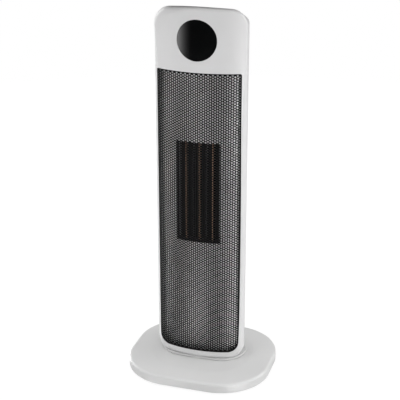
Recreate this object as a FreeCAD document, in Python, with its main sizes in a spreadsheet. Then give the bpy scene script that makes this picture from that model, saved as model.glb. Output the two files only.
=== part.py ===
import FreeCAD
import Part
import Sketcher
import math
import os
import re

# Ceramic tower heater on an oscillating foot, in millimetres.
# Row frame: +Z up, floor at z = 0, origin at the middle of the base, front towards -Y.

Vector = FreeCAD.Vector

# Driving dimensions: lengths in millimetres, angles in degrees, counts and shares as plain numbers.
SIZES = {
    # whole object
    "overall_height": 583.0,
    "overrun": 5.0,
    "fit_gap": 0.3,
    "seat_gap": 0.15,
    "running_gap": 0.05,
    # screws
    "screw_head_radius": 3.2,
    "screw_head_height": 2.0,
    "screw_shank_radius": 1.5,
    "screw_grip": 8.0,
    # base
    "base_width": 229.0,
    "base_depth": 198.0,
    "base_corner_radius": 79.0,
    "base_skirt_bottom": 2.5,
    "base_edge_height": 17.5,
    "base_edge_round": 4.0,
    "base_top": 20.0,
    "base_top_width": 160.0,
    "base_top_depth": 140.0,
    "base_top_radius": 62.0,
    "base_wall": 2.5,
    "base_floor_thickness": 2.0,
    "well_radius": 30.0,
    "well_floor": 8.8,
    "well_floor_thickness": 2.0,
    "pad_radius": 9.0,
    "pad_inset": 40.0,
    "pad_seat_depth": 1.0,
    "base_post_radius": 4.0,
    "base_post_inset": 58.0,
    # turntable and swing drive
    "glide_inner_radius": 30.3,
    "glide_outer_radius": 32.3,
    "glide_thickness": 0.8,
    "plinth_width": 139.0,
    "plinth_depth": 86.0,
    "plinth_corner_radius": 42.0,
    "plinth_middle": 10.5,
    "spindle_radius": 12.0,
    "spindle_bore": 8.5,
    "retainer_radius": 21.0,
    "retainer_thickness": 2.0,
    "gear_module": 0.8,
    "fixed_gear_teeth": 42,
    "pinion_teeth": 14,
    "gear_thickness": 4.0,
    "gear_backlash": 0.3,
    "pressure_angle": 20.0,
    "addendum_share": 0.8,
    "dedendum_share": 1.15,
    "pinion_shaft_radius": 2.5,
    "pinion_shaft_grip": 9.0,
    "swing_motor_radius": 14.0,
    "swing_motor_height": 19.0,
    "swing_motor_offset": 8.0,
    "swing_motor_tab_radius": 3.5,
    "swing_motor_tab_reach": 17.5,
    "swing_motor_tab_height": 1.0,
    "foot_screw_front_reach": 45.0,
    "foot_screw_front_setback": 10.0,
    "foot_screw_rear_reach": 30.0,
    "foot_screw_rear_setback": 33.0,
    "foot_post_radius": 4.2,
    "foot_post_height": 12.0,
    # tower casing
    "tower_bottom": 24.0,
    "tower_width": 142.8,
    "side_flat_depth": 0.9,
    "front_sagitta": 17.0,
    "axis_to_front": 35.0,
    "tower_corner_radius": 20.0,
    "head_corner_radius": 17.5,
    "tower_side_round": 14.0,
    "tower_end_round": 5.0,
    "corner_growth_share": 0.26,
    "casing_wall": 2.5,
    "seam_depth": 50.0,
    "top_slope": 15.0,
    "frame_side": 6.7,
    "frame_foot": 11.0,
    "head_height": 95.0,
    "opening_corner_radius": 17.0,
    "opening_top_radius": 2.5,
    "head_screw_reach": 52.0,
    "head_screw_drop": 39.0,
    "head_post_radius": 4.2,
    # grille, panel and heater
    "grille_recess": 0.8,
    "grille_thickness": 1.0,
    "hole_pitch": 8.0,
    "hole_across": 6.0,
    "panel_gap": 4.5,
    "panel_thickness": 1.6,
    "panel_rim": 2.0,
    "window_width": 68.5,
    "window_height": 160.5,
    "window_middle": 300.2,
    "duct_wall": 2.4,
    "duct_depth": 24.0,
    "heater_depth": 13.0,
    "heater_setback": 9.0,
    "bar_pitch": 21.0,
    "bar_thickness": 2.4,
    "separator_thickness": 0.9,
    "fin_thickness": 0.4,
    "fin_pitch": 4.0,
    "fin_end_gap": 3.0,
    "terminal_width": 6.0,
    "terminal_thickness": 0.8,
    "terminal_length": 9.0,
    "cutout_radius": 6.5,
    "cutout_height": 6.0,
    # blower
    "wheel_radius": 20.0,
    "wheel_inner_share": 0.74,
    "wheel_setback": 22.0,
    "wheel_length": 150.0,
    "wheel_disc": 2.0,
    "wheel_bays": 3,
    "blade_count": 24,
    "blade_thickness": 0.9,
    "blade_lean": 34.0,
    "blade_bulge_share": 0.25,
    "blower_shaft_radius": 2.5,
    "shaft_grip": 7.0,
    "casing_end_thickness": 2.5,
    "casing_side_wall": 2.0,
    "casing_end_gap": 2.0,
    "casing_clearance": 4.0,
    "motor_radius": 19.0,
    "motor_height": 34.0,
    "motor_cap_height": 4.0,
    "motor_cap_step": 3.0,
    "bush_radius": 6.0,
    "bush_length": 9.0,
    # rear openings and switch
    "vent_slot_height": 3.2,
    "vent_pitch": 7.5,
    "vent_rows": 24,
    "vent_columns": 3,
    "vent_slot_width": 24.0,
    "vent_rib": 5.0,
    "screen_thickness": 0.8,
    "screen_margin": 4.0,
    "gland_bore": 3.4,
    "gland_wall": 1.2,
    "gland_flange": 1.6,
    "gland_flange_thickness": 1.8,
    "gland_length": 12.0,
    "gland_height": 44.0,
    "switch_height": 72.0,
    "switch_width": 13.0,
    "switch_tall": 19.0,
    "switch_depth": 16.0,
    "switch_seat_depth": 1.0,
    "switch_flange": 2.0,
    "switch_flange_thickness": 1.6,
    "switch_wall": 1.2,
    "rocker_tilt": 8.0,
    "rocker_half_height": 7.3,
    "rocker_front": 5.0,
    "rocker_dip": 1.0,
    "rocker_shoulder": 1.5,
    "rocker_back": 2.5,
    "rocker_pivot_depth": 4.0,
    "rocker_pin_radius": 1.2,
    "rocker_well_depth": 8.0,
    # display and electronics
    "lens_radius": 30.2,
    "lens_drop": 48.0,
    "lens_recess": 0.2,
    "holder_radius": 35.0,
    "holder_bore": 28.0,
    "holder_depth": 14.0,
    "board_thickness": 1.6,
    "digits_width": 34.0,
    "digits_height": 18.0,
    "digits_depth": 5.0,
    "power_board_width": 80.0,
    "power_board_height": 96.0,
    "power_board_bottom": 94.0,
    "power_board_setback": 18.0,
    "board_post_radius": 3.5,
    "board_post_inset": 7.0,
    "relay_width": 15.0,
    "relay_height": 19.0,
    "relay_depth": 15.0,
    "relay_gap": 4.0,
    "capacitor_radius": 6.5,
    "capacitor_length": 18.0,
    "transformer_width": 26.0,
    "transformer_height": 24.0,
    "transformer_depth": 20.0,
    "part_margin": 14.0,
    "tilt_switch_side": 14.0,
    "tilt_switch_tall": 18.0,
    "tilt_switch_reach": 32.0,
}

doc = FreeCAD.newDocument("tower_heater")
sheet = doc.addObject("Spreadsheet::Sheet", "Sizes")
for row, (alias, number) in enumerate(SIZES.items(), start=1):
    sheet.set(f"A{row}", alias)
    sheet.set(f"B{row}", str(number))
    sheet.setAlias(f"B{row}", alias)
doc.recompute()


def linked(text):
    """An expression on the sheet's cells: every alias in the text gets the sheet's name."""
    return re.sub(r"[a-z][a-z_]+", lambda word: "Sizes." + word[0] if word[0] in SIZES else word[0], text)


def value(text):
    """What such an expression comes to, as a plain number."""
    return float(sheet.evalExpression(linked(text)))


# Shared lengths, as expressions on the sheet

TOWER_HEIGHT = "(overall_height - tower_bottom)"
TOP_RISE = "(tower_end_round * (tan(top_slope * 1 deg) + 1 / cos(top_slope * 1 deg) - 1))"
FRONT_RADIUS = "(((tower_width / 2)^2 + front_sagitta^2) / (2 * front_sagitta))"
FRONT_AXIS = f"({FRONT_RADIUS} - axis_to_front)"
REAR_AXIS = "(front_sagitta - axis_to_front)"
REAR_RADIUS = "(tower_width / 2)"
SEAM = "(seam_depth - axis_to_front)"
FLOOR_TOP = "(tower_bottom + casing_wall)"
BASE_FLOOR_TOP = "(base_skirt_bottom + base_floor_thickness)"
WELL_TOP = "(well_floor + well_floor_thickness)"
GLIDE_TOP = "(base_top + glide_thickness)"
PLINTH_HEIGHT = f"(tower_bottom - {GLIDE_TOP})"
RETAINER_BOTTOM = "(well_floor - fit_gap - retainer_thickness)"
GEAR_DISTANCE = "(gear_module * (fixed_gear_teeth + pinion_teeth) / 2)"
OPENING_WIDTH = "(tower_width - 2 * frame_side)"
OPENING_BOTTOM = "(tower_bottom + frame_foot)"
OPENING_HEIGHT = f"(overall_height - head_height - {OPENING_BOTTOM})"
OPENING_MIDDLE = f"({OPENING_BOTTOM} + {OPENING_HEIGHT} / 2)"
GRILLE_BACK = "(grille_recess + grille_thickness)"
PANEL_FRONT = f"({GRILLE_BACK} + panel_gap)"
PANEL_BACK = f"({PANEL_FRONT} + panel_thickness)"
WINDOW_BOTTOM = "(window_middle - window_height / 2)"
WINDOW_TOP = "(window_middle + window_height / 2)"
DUCT_FRONT = f"({PANEL_BACK} - axis_to_front)"
DUCT_BACK = f"({DUCT_FRONT} + duct_depth)"
DUCT_WIDTH = "(window_width + 2 * duct_wall)"
DUCT_TOP = f"({WINDOW_TOP} + duct_wall)"
HEATER_FRONT = f"({DUCT_FRONT} + heater_setback)"
WHEEL_BOTTOM = "(window_middle - wheel_length / 2)"
BLOWER_BOTTOM = f"({WHEEL_BOTTOM} - casing_end_gap - casing_end_thickness)"
BLOWER_HEIGHT = "(wheel_length + 2 * casing_end_gap + 2 * casing_end_thickness)"
BLOWER_TOP = f"({BLOWER_BOTTOM} + {BLOWER_HEIGHT})"
CASING_RADIUS = "(wheel_radius + casing_clearance + casing_side_wall)"
LENS_MIDDLE = "(overall_height - lens_drop)"
HOLDER_BACK = "(casing_wall + holder_depth - axis_to_front)"
SWITCH_SEAT = f"({REAR_AXIS} + {REAR_RADIUS} - switch_seat_depth)"
SWITCH_FACE = f"({SWITCH_SEAT} + switch_flange_thickness)"
ROCKER_PIVOT = f"({SWITCH_FACE} - rocker_pivot_depth)"
HEAD_SCREW_HEIGHT = "(overall_height - head_screw_drop)"

nodes = []


def node(item, label):
    """Marks a finished sub-part: its label names its file."""
    item.Label = label
    nodes.append(item)
    return item


# Bound primitives and booleans

ALONG_Y = FreeCAD.Rotation(Vector(1, 0, 0), -90)
TOWARDS_FRONT = FreeCAD.Rotation(Vector(1, 0, 0), 90)


def bind(item, **expressions):
    for name, text in expressions.items():
        item.setExpression(name, linked(text))
    return item


def place(item, x="0", y="0", z="0"):
    for axis, text in zip("xyz", (x, y, z)):
        item.setExpression(f"Placement.Base.{axis}", linked(text))
    return item


def box(name, length, width, height, x, y, z):
    """A box whose middle in X is at x, with its front at y and its bottom at z."""
    item = doc.addObject("Part::Box", name)
    bind(item, Length=length, Width=width, Height=height)
    return place(item, f"{x} - ({length}) / 2", y, z)


def cylinder(name, radius, height, x="0", y="0", z="0", rotation=None):
    item = doc.addObject("Part::Cylinder", name)
    bind(item, Radius=radius, Height=height)
    if rotation is not None:
        item.Placement.Rotation = rotation
    return place(item, x, y, z)


def gather(kind, name, shapes):
    item = doc.addObject(kind, name)
    if kind == "Part::Compound":
        item.Links = list(shapes)
    else:
        item.Shapes = list(shapes)
    return item


def fuse(name, *shapes):
    return gather("Part::MultiFuse", name, shapes)


def common(name, *shapes):
    return gather("Part::MultiCommon", name, shapes)


def group(name, *shapes):
    return gather("Part::Compound", name, shapes)


def cut(name, base, *tools):
    item = doc.addObject("Part::Cut", name)
    item.Base = base
    item.Tool = tools[0] if len(tools) == 1 else group(name + "_tools", *tools)
    return item


def worked(name, shape):
    """A shape that is worked out in code from the sheet's numbers."""
    item = doc.addObject("Part::Feature", name)
    item.Shape = shape
    return item


def tube(name, radius, bore, height, x="0", y="0", z="0", rotation=None):
    outside = cylinder(name + "_outside", radius, height, x, y, z, rotation)
    inside = cylinder(name + "_inside", bore, height, x, y, z, rotation)
    return cut(name, outside, inside)


def mirrored_pair(maker, name, reach, *rest):
    """The same piece on the left and on the right, that far from the middle."""
    return [maker(f"{name}_{side}", f"{sign} * {reach}", *rest) for side, sign in (("right", 1), ("left", -1))]


# Bodies and sketches


def body(name, x="0", y="0", z="0"):
    return place(doc.addObject("PartDesign::Body", name), x, y, z)


def sketch(owner, name, plane="XY_Plane", offset="0"):
    item = owner.newObject("Sketcher::SketchObject", name)
    support = [feature for feature in owner.Origin.OriginFeatures if feature.Role == plane][0]
    item.AttachmentSupport = [(support, "")]
    item.MapMode = "FlatFace"
    item.setExpression("AttachmentOffset.Base.z", linked(offset))
    return item


def relate(item, kind, *where):
    return item.addConstraint(Sketcher.Constraint(kind, *where))


def measure(item, kind, where, text):
    """A dimension bound to an expression. A sketch's distances are positive, so ends swap where it is not."""
    amount = value(text)
    if amount < 0:
        where = where[2:] + where[:2]
        text = f"-({text})"
    index = item.addConstraint(Sketcher.Constraint(kind, *where, abs(amount)))
    item.setExpression(f"Constraints[{index}]", linked(text))


def pin(item, geometry, point, x, y):
    """Holds a point of a sketch at x, y."""
    for kind, text, axis in (("DistanceX", x, -2), ("DistanceY", y, -1)):
        if text == "0":
            relate(item, "PointOnObject", geometry, point, axis)
        else:
            measure(item, kind, (-1, 1, geometry, point), text)


def polygon(item, points):
    """A closed outline through points given as pairs of expressions."""
    first = item.GeometryCount
    spots = [Vector(value(x), value(y), 0) for x, y in points]
    for start, end in zip(spots, spots[1:] + spots[:1]):
        item.addGeometry(Part.LineSegment(start, end))
    for number, (x, y) in enumerate(points):
        relate(item, "Coincident", first + number - 1 if number else first + len(points) - 1, 2, first + number, 1)
        pin(item, first + number, 1, x, y)


def rectangle(item, left, bottom, right, top):
    polygon(item, [(left, bottom), (right, bottom), (right, top), (left, top)])


def circle(item, radius, x="0", y="0"):
    index = item.addGeometry(Part.Circle(Vector(value(x), value(y), 0), Vector(0, 0, 1), value(radius)))
    measure(item, "Radius", (index,), radius)
    pin(item, index, 3, x, y)


def rounded_rectangle(item, width, height, radius, x="0", y="0", top_radius=None):
    """A rounded rectangle about x, y. Its two upper corners may have a radius of their own."""
    radii = [top_radius or radius, top_radius or radius, radius, radius]
    signs = [(1, 1), (-1, 1), (-1, -1), (1, -1)]
    centres = []
    for (across, up), r in zip(signs, radii):
        centres.append((f"{x} + {across} * (({width}) / 2 - ({r}))", f"{y} + {up} * (({height}) / 2 - ({r}))"))
    first = item.GeometryCount
    for quarter, ((cx, cy), r) in enumerate(zip(centres, radii)):
        round_corner = Part.Circle(Vector(value(cx), value(cy), 0), Vector(0, 0, 1), value(r))
        item.addGeometry(Part.ArcOfCircle(round_corner, quarter * math.pi / 2, (quarter + 1) * math.pi / 2))
    for quarter in range(4):
        start = item.getPoint(first + quarter, 2)
        end = item.getPoint(first + (quarter + 1) % 4, 1)
        item.addGeometry(Part.LineSegment(start, end))
    for quarter in range(4):
        side = first + 4 + quarter
        relate(item, "Tangent", first + quarter, 2, side, 1)
        relate(item, "Tangent", side, 2, first + (quarter + 1) % 4, 1)
        relate(item, "Vertical" if quarter % 2 else "Horizontal", side)
    relate(item, "Equal", first, first + 1)
    relate(item, "Equal", first + 2, first + 3)
    measure(item, "Radius", (first,), radii[0])
    measure(item, "Radius", (first + 2,), radii[2])
    pin(item, first, 3, *centres[0])
    pin(item, first + 2, 3, *centres[2])


def pad(owner, name, profile, length):
    item = owner.newObject("PartDesign::Pad", name)
    item.Profile = profile
    return bind(item, Length=length)


def pocket(owner, name, profile, length=None):
    """A cut along the sketch's normal for that length, or right through both ways."""
    item = owner.newObject("PartDesign::Pocket", name)
    item.Profile = profile
    if length is None:
        item.SideType = "Two sides"
        item.Type = "ThroughAll"
        item.Type2 = "ThroughAll"
        return item
    item.Reversed = True
    return bind(item, Length=length)


def loft(owner, name, low, high):
    item = owner.newObject("PartDesign::AdditiveLoft", name)
    item.Profile = low
    item.Sections = [high]
    item.Ruled = True
    return item


# Base: a low rounded plate whose crown rises to the turntable, with a well for the swing gear


def base_outline(owner, name, height, inset="0"):
    item = sketch(owner, name, offset=height)
    sizes = (f"base_width - 2 * {inset}", f"base_depth - 2 * {inset}", f"base_corner_radius - {inset}")
    rounded_rectangle(item, *sizes)
    return item


def crown_outline(owner, name, height, inset="0"):
    item = sketch(owner, name, offset=height)
    sizes = (f"base_top_width - 2 * {inset}", f"base_top_depth - 2 * {inset}", f"base_top_radius - {inset}")
    rounded_rectangle(item, *sizes)
    return item


def base_form():
    """Outside of the base: upright skirt with a rounded shoulder, then the low crown."""
    owner = body("base_form")
    skirt = pad(owner, "skirt", base_outline(owner, "skirt_outline", "base_skirt_bottom"),
                "base_edge_height - base_skirt_bottom")
    doc.recompute()
    edges = []
    for number, edge in enumerate(owner.Shape.Edges, start=1):
        if value("base_edge_height") - edge.BoundBox.ZMin < value("running_gap"):
            edges.append(f"Edge{number}")
    shoulder = owner.newObject("PartDesign::Fillet", "shoulder")
    shoulder.Base = (skirt, edges)
    bind(shoulder, Radius="base_edge_round")
    loft(owner, "crown", base_outline(owner, "crown_low", "base_edge_height", "base_edge_round"),
         crown_outline(owner, "crown_high", "base_top"))
    return owner


def base_hollow():
    """The space under the base cover."""
    owner = body("base_hollow")
    ceiling = "base_edge_height - base_wall"
    pad(owner, "hollow_skirt", base_outline(owner, "hollow_low", "base_skirt_bottom", "base_wall"),
        f"{ceiling} - base_skirt_bottom")
    loft(owner, "hollow_crown", base_outline(owner, "hollow_middle", ceiling, "base_wall"),
         crown_outline(owner, "hollow_high", "base_top - base_wall", "base_wall"))
    return owner


def base_corners(name, radius, height, inset, z):
    """Four equal upright cylinders, that far in from the base's sides."""
    members = []
    for number, (across, along) in enumerate(((1, 1), (1, -1), (-1, 1), (-1, -1)), start=1):
        x = f"{across} * (base_width / 2 - {inset})"
        y = f"{along} * (base_depth / 2 - {inset})"
        members.append(cylinder(f"{name}_{number}", radius, height, x, y, z))
    return members


def make_base():
    hollow = base_hollow()
    shell = cut("base_shell", base_form(), hollow)
    post_height = f"base_top - {BASE_FLOOR_TOP}"
    posts = common("base_posts", hollow, group("base_post_rods", *base_corners(
        "base_post", "base_post_radius", post_height, "base_post_inset", BASE_FLOOR_TOP)))
    well = cylinder("well_outside", "well_radius + base_wall", "base_top - well_floor", z="well_floor")
    well_inside = cylinder("well_inside", "well_radius", f"base_top - {WELL_TOP} + overrun", z=WELL_TOP)
    spindle_hole = cylinder("spindle_hole", "spindle_radius + running_gap", "base_top")
    pilots = base_corners("base_pilot", "screw_shank_radius", "screw_grip - base_floor_thickness",
                          "base_post_inset", BASE_FLOOR_TOP)
    walls = fuse("base_cover_walls", shell, posts, well)
    node(cut("base_cover_cut", walls, well_inside, spindle_hole, *pilots), "base_cover")

    plate = body("base_plate")
    floor_inset = "base_wall + seat_gap"
    floor_outline = base_outline(plate, "floor_outline", "base_skirt_bottom", f"({floor_inset})")
    pad(plate, "floor_plate", floor_outline, "base_floor_thickness")
    screw_passes = base_corners("base_screw_pass", "screw_shank_radius", "base_edge_height", "base_post_inset", "0")
    pad_seats = base_corners("pad_seat", "pad_radius", "base_skirt_bottom + pad_seat_depth", "pad_inset", "0")
    node(cut("base_floor_cut", plate, *screw_passes, *pad_seats), "base_floor")
    pads = base_corners("pad", "pad_radius", "base_skirt_bottom + pad_seat_depth", "pad_inset", "0")
    node(group("pads", *pads), "rubber_feet")
    heads = base_corners("base_screw_head", "screw_head_radius", "screw_head_height", "base_post_inset",
                         "base_skirt_bottom - screw_head_height")
    shanks = base_corners("base_screw_shank", "screw_shank_radius", "screw_grip", "base_post_inset",
                          "base_skirt_bottom")
    screws = [fuse(f"base_screw_{k}", *pair) for k, pair in enumerate(zip(heads, shanks), start=1)]
    node(group("base_screw_set", *screws), "base_screws")


make_base()


# Tower casing: a bowed front and a round back, with a rounded outline and a top that falls to the rear


def tower_solid(name, inset="0"):
    owner = body(name + "_section", y="-axis_to_front", z="tower_bottom")
    section = sketch(owner, name + "_plan", offset=inset)
    front_centre = Vector(0, value(FRONT_RADIUS), 0)
    front_r = value(f"{FRONT_RADIUS} - {inset}")
    rear_r = value(f"{REAR_RADIUS} - {inset}")
    rear_y = value("front_sagitta")
    up = (front_r**2 - rear_r**2 - (front_centre.y - rear_y) ** 2) / (2 * (front_centre.y - rear_y))
    lean = math.asin(-up / rear_r)
    reach = math.atan2(rear_r * math.cos(lean), front_centre.y - rear_y + up)
    middle = -math.pi / 2
    front = Part.ArcOfCircle(Part.Circle(front_centre, Vector(0, 0, 1), front_r), middle - reach, middle + reach)
    rear_circle = Part.Circle(Vector(0, rear_y, 0), Vector(0, 0, 1), rear_r)
    rear = Part.ArcOfCircle(rear_circle, -lean, math.pi + lean)
    section.addGeometry(front)
    section.addGeometry(rear)
    relate(section, "Coincident", 0, 2, 1, 1)
    relate(section, "Coincident", 1, 2, 0, 1)
    pin(section, 0, 3, "0", FRONT_RADIUS)
    pin(section, 1, 3, "0", "front_sagitta")
    measure(section, "Radius", (0,), f"{FRONT_RADIUS} - {inset}")
    measure(section, "Radius", (1,), f"{REAR_RADIUS} - {inset}")
    pad(owner, name + "_column", section, f"{TOWER_HEIGHT} + {TOP_RISE} - 2 * {inset}")
    return common(name, owner, tower_envelope(name + "_envelope", inset))


def tower_envelope(name, inset):
    """The tower's outline from the front, run to the rear, where its top is lower and its shoulders rounder."""
    owner = body(name, y="-axis_to_front", z="tower_bottom")
    ends = []
    for end, depth in (("front", "-overrun"), ("rear", f"({REAR_RADIUS} + front_sagitta + overrun)")):
        top = f"({TOWER_HEIGHT} + {TOP_RISE} - {inset} / cos(top_slope * 1 deg) - {depth} * tan(top_slope * 1 deg))"
        outline = sketch(owner, f"{name}_{end}", "XZ_Plane", f"-({depth})")
        rounded_rectangle(outline, f"tower_width - 2 * side_flat_depth - 2 * {inset}", f"{top} - {inset}",
                          f"tower_corner_radius - {inset}", y=f"({top} + {inset}) / 2",
                          top_radius=f"head_corner_radius + {depth} * corner_growth_share - {inset}")
        ends.append(outline)
    loft(owner, name + "_run", *ends)
    return owner


def round_front(form, inset="0"):
    """Rounds the edge of the bowed front: softly down the sides, tighter over the top and the foot."""
    doc.recompute()
    side_reach = value(f"tower_width / 2 - side_flat_depth - {inset} - running_gap")

    def round_at(point):
        return value(f"tower_{'side' if abs(point.x) > side_reach else 'end'}_round - {inset}")

    rounds = []
    for number, edge in enumerate(form.Shape.Edges, start=1):
        walls = [face.Surface for face in form.Shape.ancestorsOfType(edge, Part.Face)]
        radii = [wall.Radius for wall in walls if isinstance(wall, Part.Cylinder)]
        if any(abs(radius - value(f"{FRONT_RADIUS} - {inset}")) < value("running_gap") for radius in radii):
            ends = (edge.valueAt(edge.FirstParameter), edge.valueAt(edge.LastParameter))
            rounds.append((number, round_at(ends[0]), round_at(ends[1])))
    item = doc.addObject("Part::Fillet", form.Name + "_rounded")
    item.Base = form
    item.Edges = rounds
    return item


def front_layer(name, depth, thickness):
    """A bowed layer that lies that deep under the tower's front face."""
    return tube(name, f"{FRONT_RADIUS} - ({depth})", f"{FRONT_RADIUS} - ({depth}) - ({thickness})",
                "overall_height", y=FRONT_AXIS)


def opening_prism(name, grow="0"):
    """The grille opening's outline, run from the axis through the front."""
    owner = body(name, z=OPENING_MIDDLE)
    outline = sketch(owner, name + "_outline", "XZ_Plane")
    rounded_rectangle(outline, f"{OPENING_WIDTH} + 2 * ({grow})", f"{OPENING_HEIGHT} + 2 * ({grow})",
                      f"opening_corner_radius + ({grow})", top_radius=f"opening_top_radius + ({grow})")
    pad(owner, name + "_run", outline, "axis_to_front + overrun")
    return owner


def screw(name, x, y, z, rotation=None):
    """A pan-head screw whose head sits on the plane at its place and whose shank runs along the direction."""
    head = cylinder(name + "_head", "screw_head_radius", "screw_head_height")
    head.setExpression("Placement.Base.z", linked("-screw_head_height"))
    shank = cylinder(name + "_shank", "screw_shank_radius", "2 * screw_grip")
    item = fuse(name, head, shank)
    if rotation is not None:
        item.Placement.Rotation = rotation
    return place(item, x, y, z)


def foot_places():
    return [(f"{side} * foot_screw_{end}_reach", y) for side in (1, -1)
            for end, y in (("front", "-foot_screw_front_setback"), ("rear", "foot_screw_rear_setback"))]


def foot_set(name, radius, height, z):
    return [cylinder(f"{name}_{k}", radius, height, x, y, z) for k, (x, y) in enumerate(foot_places(), start=1)]


def head_set(name, radius, start, length):
    rods = []
    for k, side in enumerate((1, -1), start=1):
        rods.append(cylinder(f"{name}_{k}", radius, length, f"{side} * head_screw_reach", start,
                             HEAD_SCREW_HEIGHT, ALONG_Y))
    return rods


def vent_cutters():
    """Rows of slots through the round back, opposite the blower."""
    width = value("vent_slot_width")
    height = value("vent_slot_height")
    rows = int(value("vent_rows"))
    columns = int(value("vent_columns"))
    depth = value("tower_width")
    slots = []
    for row in range(rows):
        z = value("window_middle") + (row - (rows - 1) / 2) * value("vent_pitch") - height / 2
        for column in range(columns):
            x = (column - (columns - 1) / 2) * (width + value("vent_rib")) - width / 2
            slots.append(Part.makeBox(width, depth, height, Vector(x, value("wheel_setback"), z)))
    return worked("vent_slots", Part.makeCompound(slots))


def make_casing():
    form = round_front(tower_solid("tower_form"))
    hollow = round_front(tower_solid("tower_hollow", "casing_wall"), "casing_wall")
    shell = cut("tower_shell", form, hollow)
    front_half = box("front_half", "2 * tower_width", "tower_width", "overall_height", "0",
                     f"{SEAM} - tower_width", "0")
    rear_half = box("rear_half", "2 * tower_width", "tower_width", "overall_height", "0", SEAM, "0")
    foot_posts = group("foot_posts", *foot_set("foot_post", "foot_post_radius", "foot_post_height", FLOOR_TOP))
    pilots = foot_set("foot_pilot", "screw_shank_radius", "4 * screw_grip", GLIDE_TOP)
    wire_way = cylinder("wire_way", "spindle_bore", "4 * casing_wall", z="tower_bottom - casing_wall")
    shaft_way = cylinder("shaft_way", "pinion_shaft_radius + 2 * fit_gap", "4 * casing_wall", y=GEAR_DISTANCE,
                         z="tower_bottom - casing_wall")
    lens_hole = cylinder("lens_hole", "lens_radius + seat_gap", "axis_to_front", y="0", z=LENS_MIDDLE,
                         rotation=TOWARDS_FRONT)
    head_rods = group("head_rods", *head_set("head_rod", "head_post_radius", "-axis_to_front", "tower_width"))
    head_posts = common("head_posts", head_rods, hollow)
    head_pilots = head_set("head_pilot", "screw_shank_radius", f"{SEAM} - 2 * screw_grip", "4 * screw_grip")
    head_wells = head_set("head_well", "screw_head_radius + seat_gap", f"{SEAM} + screw_grip", "tower_width")

    front_walls = common("front_walls", fuse("front_stock", shell, foot_posts, head_posts), front_half)
    node(cut("front_cut", front_walls, opening_prism("opening"), lens_hole, wire_way, shaft_way, *pilots,
             *head_pilots), "front_frame")

    board_posts = common("board_posts", hollow, group("board_post_rods", *board_corners(
        "board_post", "board_post_radius", "power_board_setback + board_thickness", "tower_width")))
    seat = box("switch_seat", "tower_width", "tower_width", "switch_tall + 2 * switch_flange + 2 * fit_gap", "0",
               SWITCH_SEAT, "switch_height - switch_tall / 2 - switch_flange - fit_gap")
    switch_way = box("switch_way", "switch_width + 2 * seat_gap", "tower_width", "switch_tall + 2 * seat_gap", "0",
                     "wheel_setback", "switch_height - switch_tall / 2 - seat_gap")
    gland_way = cylinder("gland_way", "gland_bore + gland_wall", "tower_width", y="wheel_setback", z="gland_height",
                         rotation=ALONG_Y)
    gland_seat = cylinder("gland_seat", "gland_bore + gland_wall + gland_flange + seat_gap", "tower_width",
                          y=SWITCH_SEAT, z="gland_height", rotation=ALONG_Y)
    rear_walls = common("rear_walls", fuse("rear_stock", shell, foot_posts, head_posts), rear_half)
    rear_stock = fuse("rear_with_posts", rear_walls, board_posts)
    node(cut("rear_cut", rear_stock, vent_cutters(), seat, switch_way, gland_way, gland_seat, wire_way, shaft_way,
             *pilots, *head_pilots, *head_wells), "rear_housing")

    half_screen = "(vent_columns * (vent_slot_width + vent_rib) / 2 + screen_margin)"
    half_rows = "(vent_rows * vent_pitch / 2 + screen_margin)"
    screen_area = box("screen_area", f"2 * {half_screen}", "tower_width", f"2 * {half_rows}", "0", "wheel_setback",
                      f"window_middle - {half_rows}")
    screen_radius = f"({REAR_RADIUS} - casing_wall)"
    screen_stock = tube("screen_stock", screen_radius, f"{screen_radius} - screen_thickness", "overall_height",
                        y=REAR_AXIS)
    node(common("screen", screen_stock, screen_area), "intake_screen")

    head_screws = mirrored_pair(lambda name, x: screw(
        name, x, f"{SEAM} + screw_grip", HEAD_SCREW_HEIGHT, TOWARDS_FRONT), "head_screw", "head_screw_reach")
    node(group("head_screw_set", *head_screws), "head_screws")


def board_corners(name, radius, start, length):
    rods = []
    for across in (1, -1):
        for z in ("power_board_bottom + board_post_inset",
                  "power_board_bottom + power_board_height - board_post_inset"):
            rods.append(cylinder(f"{name}_{len(rods)}", radius, length,
                                 f"{across} * (power_board_width / 2 - board_post_inset)", start, z, ALONG_Y))
    return rods


make_casing()


# Turntable, its retainer and the swing drive


def gear_outline(teeth, backlash, phase):
    """A spur gear's outline with involute flanks, each drawn in chords."""
    module = value("gear_module")
    pitch_r = module * teeth / 2
    angle = math.radians(value("pressure_angle"))
    base_r = pitch_r * math.cos(angle)
    tip_r = pitch_r + module * value("addendum_share")
    root_r = pitch_r - module * value("dedendum_share")
    half = math.pi / (2 * teeth) - backlash / (4 * pitch_r) + math.tan(angle) - angle
    points = []
    for tooth in range(teeth):
        middle = phase + 2 * math.pi * tooth / teeth
        flank = []
        for r in (root_r, max(base_r, root_r), pitch_r, tip_r):
            turn = math.acos(min(1, base_r / r)) if r > base_r else 0
            flank.append((r, half - (math.tan(turn) - turn)))
        points += [(r, middle - a) for r, a in flank] + [(r, middle + a) for r, a in reversed(flank)]
    corners = [Vector(r * math.cos(a), r * math.sin(a), 0) for r, a in points]
    clean = []
    for corner, following in zip(corners, corners[1:] + corners[:1]):
        if not corner.isEqual(following, value("running_gap")):
            clean.append(corner)
    return Part.Face(Part.makePolygon(clean + clean[:1]))


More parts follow.
